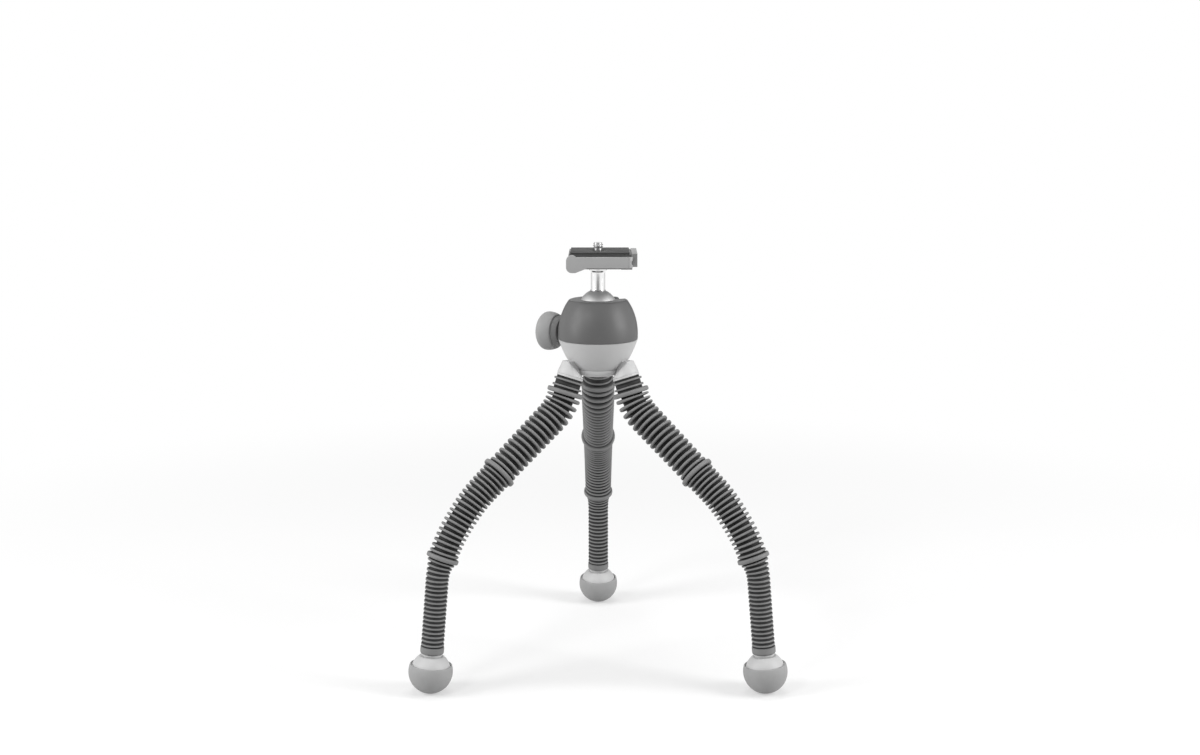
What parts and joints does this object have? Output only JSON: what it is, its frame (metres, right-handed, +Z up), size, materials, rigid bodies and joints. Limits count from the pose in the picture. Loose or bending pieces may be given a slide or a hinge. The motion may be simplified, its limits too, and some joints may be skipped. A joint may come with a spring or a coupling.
{
  "type": "flexible leg tripod",
  "caption": "Table tripod: ball head with quick-release clamp on ribbed legs that bend and stay as bent, with ball feet.",
  "frame": {"origin": "middle of the box that holds the part, on the surface that the feet stand on", "axes": "+Z up; the front, with the clamp lever, looks along -Y; the rear leg points along +Y"},
  "size_m": [0.2322, 0.2048, 0.271],
  "materials": {
    "hub_plastic": "light grey moulded plastic",
    "steel": "plated steel",
    "bowl_plastic": "light grey satin plastic",
    "shell_plastic": "dark grey satin plastic",
    "bearing_plastic": "pale bearing plastic",
    "knob_skirt_plastic": "dark grey plastic",
    "knob_cap_plastic": "mid grey soft-touch rubber",
    "ball_metal": "grey blasted aluminium",
    "stem_chrome": "bright chrome",
    "clamp_metal": "dark anodised aluminium",
    "lever_plastic": "mid grey satin plastic",
    "pad_rubber": "black rubber",
    "link_plastic": "grey bearing plastic",
    "sleeve_rubber": "dark grey ribbed rubber",
    "cap_plastic": "light grey moulded plastic",
    "foot_rubber": "mid grey rubber"
  },
  "bodies": {
    "base": {"hub": "hub_plastic", "hub_ball_studs": "steel", "hub_bolt": "steel", "bowl": "bowl_plastic", "upper_shell": "shell_plastic", "housing_screws": "steel", "ball_seat": "bearing_plastic", "left_root_boot": "sleeve_rubber", "right_root_boot": "sleeve_rubber", "rear_root_boot": "sleeve_rubber"},
    "ball": {"head_ball_piece": "ball_metal"},
    "camera_mount": {"stem": "stem_chrome", "clamp_screw": "steel", "clamp_base": "clamp_metal"},
    "lever": {"clamp_lever": "lever_plastic", "lever_pin": "steel"},
    "jaw": {"clamp_jaw": "clamp_metal"},
    "plate": {"plate": "clamp_metal", "plate_pad": "pad_rubber"},
    "camera_screw": {"camera_screw": "steel"},
    "knob": {"lock_screw": "steel", "knob_skirt": "knob_skirt_plastic", "knob_cap": "knob_cap_plastic"},
    "shoe": {"brake_shoe": "bearing_plastic"},
    "left_link_1": {"left_link_1": "link_plastic"},
    "left_link_2": {"left_link_2": "link_plastic", "left_upper_sleeve": "sleeve_rubber"},
    "left_link_3": {"left_link_3": "link_plastic"},
    "left_link_4": {"left_link_4": "link_plastic", "left_middle_sleeve": "sleeve_rubber"},
    "left_link_5": {"left_link_5": "link_plastic"},
    "left_link_6": {"left_link_6": "link_plastic", "left_lower_sleeve": "sleeve_rubber"},
    "left_link_7": {"left_link_7": "link_plastic", "left_foot_cap": "cap_plastic", "left_foot_pad": "foot_rubber"},
    "right_link_1": {"right_link_1": "link_plastic"},
    "right_link_2": {"right_link_2": "link_plastic", "right_upper_sleeve": "sleeve_rubber"},
    "right_link_3": {"right_link_3": "link_plastic"},
    "right_link_4": {"right_link_4": "link_plastic", "right_middle_sleeve": "sleeve_rubber"},
    "right_link_5": {"right_link_5": "link_plastic"},
    "right_link_6": {"right_link_6": "link_plastic", "right_lower_sleeve": "sleeve_rubber"},
    "right_link_7": {"right_link_7": "link_plastic", "right_foot_cap": "cap_plastic", "right_foot_pad": "foot_rubber"},
    "rear_link_1": {"rear_link_1": "link_plastic"},
    "rear_link_2": {"rear_link_2": "link_plastic", "rear_upper_sleeve": "sleeve_rubber"},
    "rear_link_3": {"rear_link_3": "link_plastic"},
    "rear_link_4": {"rear_link_4": "link_plastic", "rear_middle_sleeve": "sleeve_rubber"},
    "rear_link_5": {"rear_link_5": "link_plastic"},
    "rear_link_6": {"rear_link_6": "link_plastic", "rear_lower_sleeve": "sleeve_rubber"},
    "rear_link_7": {"rear_link_7": "link_plastic", "rear_foot_cap": "cap_plastic", "rear_foot_pad": "foot_rubber"}
  },
  "joints": [
    {"name": "head_tilt", "type": "hinge", "parent": "base", "child": "ball", "pos_m": [0, -0.0296, 0.22974], "axis": [-0.5, 0.866, 0], "range_deg": [-30, 90]},
    {"name": "head_pan", "type": "hinge", "parent": "ball", "child": "camera_mount", "pos_m": [0, -0.0296, 0.22974], "axis": [0, 0, 1], "continuous": true},
    {"name": "knob_turn", "type": "hinge", "parent": "base", "child": "knob", "pos_m": [0, -0.0296, 0.21314], "axis": [-0.8829, 0.4695, 0], "range_deg": [0, 360]},
    {"name": "shoe_slide", "type": "slide", "parent": "base", "child": "shoe", "axis": [-0.8829, 0.4695, 0], "range_m": [0, 0.001]},
    {"name": "lever_swing", "type": "hinge", "parent": "camera_mount", "child": "lever", "pos_m": [0.0184, -0.0507, 0.25591], "axis": [0, 0, 1], "range_deg": [0, 90]},
    {"name": "jaw_slide", "type": "slide", "parent": "camera_mount", "child": "jaw", "axis": [0, -1, 0], "range_m": [0, 0.0012]},
    {"name": "plate_slide", "type": "slide", "parent": "camera_mount", "child": "plate", "axis": [-1, 0, 0], "range_m": [0, 0.036]},
    {"name": "camera_screw_turn", "type": "hinge", "parent": "plate", "child": "camera_screw", "pos_m": [0, -0.0296, 0.25591], "axis": [0, 0, 1], "continuous": true},
    {"name": "left_bend_1", "type": "hinge", "parent": "base", "child": "left_link_1", "pos_m": [-0.01885, -0.04049, 0.18358], "axis": [-0.5, 0.866, 0], "range_deg": [-25, 25], "deforming": ["left_root_boot"]},
    {"name": "left_bend_2", "type": "hinge", "parent": "left_link_1", "child": "left_link_2", "pos_m": [-0.0235, -0.04317, 0.16883], "axis": [0.5, -0.866, 0], "range_deg": [-10, 60], "deforming": ["left_upper_sleeve"]},
    {"name": "left_bend_3", "type": "hinge", "parent": "left_link_2", "child": "left_link_3", "pos_m": [-0.04951, -0.05819, 0.14363], "axis": [-0.5567, -0.3214, 0.766], "range_deg": [-35, 35], "deforming": ["left_upper_sleeve"]},
    {"name": "left_bend_4", "type": "hinge", "parent": "left_link_3", "child": "left_link_4", "pos_m": [-0.07641, -0.07372, 0.11757], "axis": [-0.5, 0.866, 0], "range_deg": [-25, 45], "deforming": ["left_middle_sleeve"]},
    {"name": "left_bend_5", "type": "hinge", "parent": "left_link_4", "child": "left_link_5", "pos_m": [-0.08985, -0.08148, 0.09659], "axis": [0.5, -0.866, 0], "range_deg": [-45, 25], "deforming": ["left_middle_sleeve"]},
    {"name": "left_bend_6", "type": "hinge", "parent": "left_link_5", "child": "left_link_6", "pos_m": [-0.09732, -0.08579, 0.07626], "axis": [-0.5, 0.866, 0], "range_deg": [-25, 45], "deforming": ["left_lower_sleeve"]},
    {"name": "left_bend_7", "type": "hinge", "parent": "left_link_6", "child": "left_link_7", "pos_m": [-0.0997, -0.08717, 0.04774], "axis": [-0.862, -0.4977, 0.0958], "range_deg": [-35, 35], "deforming": ["left_lower_sleeve"]},
    {"name": "right_bend_1", "type": "hinge", "parent": "base", "child": "right_link_1", "pos_m": [0.01885, -0.04049, 0.18358], "axis": [-0.5, -0.866, 0], "range_deg": [-25, 25], "deforming": ["right_root_boot"]},
    {"name": "right_bend_2", "type": "hinge", "parent": "right_link_1", "child": "right_link_2", "pos_m": [0.0235, -0.04317, 0.16883], "axis": [0.5, 0.866, 0], "range_deg": [-10, 60], "deforming": ["right_upper_sleeve"]},
    {"name": "right_bend_3", "type": "hinge", "parent": "right_link_2", "child": "right_link_3", "pos_m": [0.04951, -0.05819, 0.14363], "axis": [0.5567, -0.3214, 0.766], "range_deg": [-35, 35], "deforming": ["right_upper_sleeve"]},
    {"name": "right_bend_4", "type": "hinge", "parent": "right_link_3", "child": "right_link_4", "pos_m": [0.07641, -0.07372, 0.11757], "axis": [-0.5, -0.866, 0], "range_deg": [-25, 45], "deforming": ["right_middle_sleeve"]},
    {"name": "right_bend_5", "type": "hinge", "parent": "right_link_4", "child": "right_link_5", "pos_m": [0.08985, -0.08148, 0.09659], "axis": [0.5, 0.866, 0], "range_deg": [-45, 25], "deforming": ["right_middle_sleeve"]},
    {"name": "right_bend_6", "type": "hinge", "parent": "right_link_5", "child": "right_link_6", "pos_m": [0.09732, -0.08579, 0.07626], "axis": [-0.5, -0.866, 0], "range_deg": [-25, 45], "deforming": ["right_lower_sleeve"]},
    {"name": "right_bend_7", "type": "hinge", "parent": "right_link_6", "child": "right_link_7", "pos_m": [0.0997, -0.08717, 0.04774], "axis": [0.862, -0.4977, 0.0958], "range_deg": [-35, 35], "deforming": ["right_lower_sleeve"]},
    {"name": "rear_bend_1", "type": "hinge", "parent": "base", "child": "rear_link_1", "pos_m": [0, -0.00784, 0.18358], "axis": [1, 0, 0], "range_deg": [-25, 25], "deforming": ["rear_root_boot"]},
    {"name": "rear_bend_2", "type": "hinge", "parent": "rear_link_1", "child": "rear_link_2", "pos_m": [0, -0.00247, 0.16883], "axis": [-1, 0, 0], "range_deg": [-10, 60], "deforming": ["rear_upper_sleeve"]},
    {"name": "rear_bend_3", "type": "hinge", "parent": "rear_link_2", "child": "rear_link_3", "pos_m": [0, 0.02756, 0.14363], "axis": [0, 0.6428, 0.766], "range_deg": [-35, 35], "deforming": ["rear_upper_sleeve"]},
    {"name": "rear_bend_4", "type": "hinge", "parent": "rear_link_3", "child": "rear_link_4", "pos_m": [0, 0.05862, 0.11757], "axis": [1, 0, 0], "range_deg": [-25, 45], "deforming": ["rear_middle_sleeve"]},
    {"name": "rear_bend_5", "type": "hinge", "parent": "rear_link_4", "child": "rear_link_5", "pos_m": [0, 0.07414, 0.09659], "axis": [-1, 0, 0], "range_deg": [-45, 25], "deforming": ["rear_middle_sleeve"]},
    {"name": "rear_bend_6", "type": "hinge", "parent": "rear_link_5", "child": "rear_link_6", "pos_m": [0, 0.08278, 0.07626], "axis": [1, 0, 0], "range_deg": [-25, 45], "deforming": ["rear_lower_sleeve"]},
    {"name": "rear_bend_7", "type": "hinge", "parent": "rear_link_6", "child": "rear_link_7", "pos_m": [0, 0.08552, 0.04774], "axis": [0, 0.9954, 0.0958], "range_deg": [-35, 35], "deforming": ["rear_lower_sleeve"]}
  ],
  "couplings": [
    {"joint": "shoe_slide", "follows": "knob_turn", "m_per_rad": 0.00015915},
    {"joint": "jaw_slide", "follows": "lever_swing", "m_per_rad": 0.00076394}
  ]
}
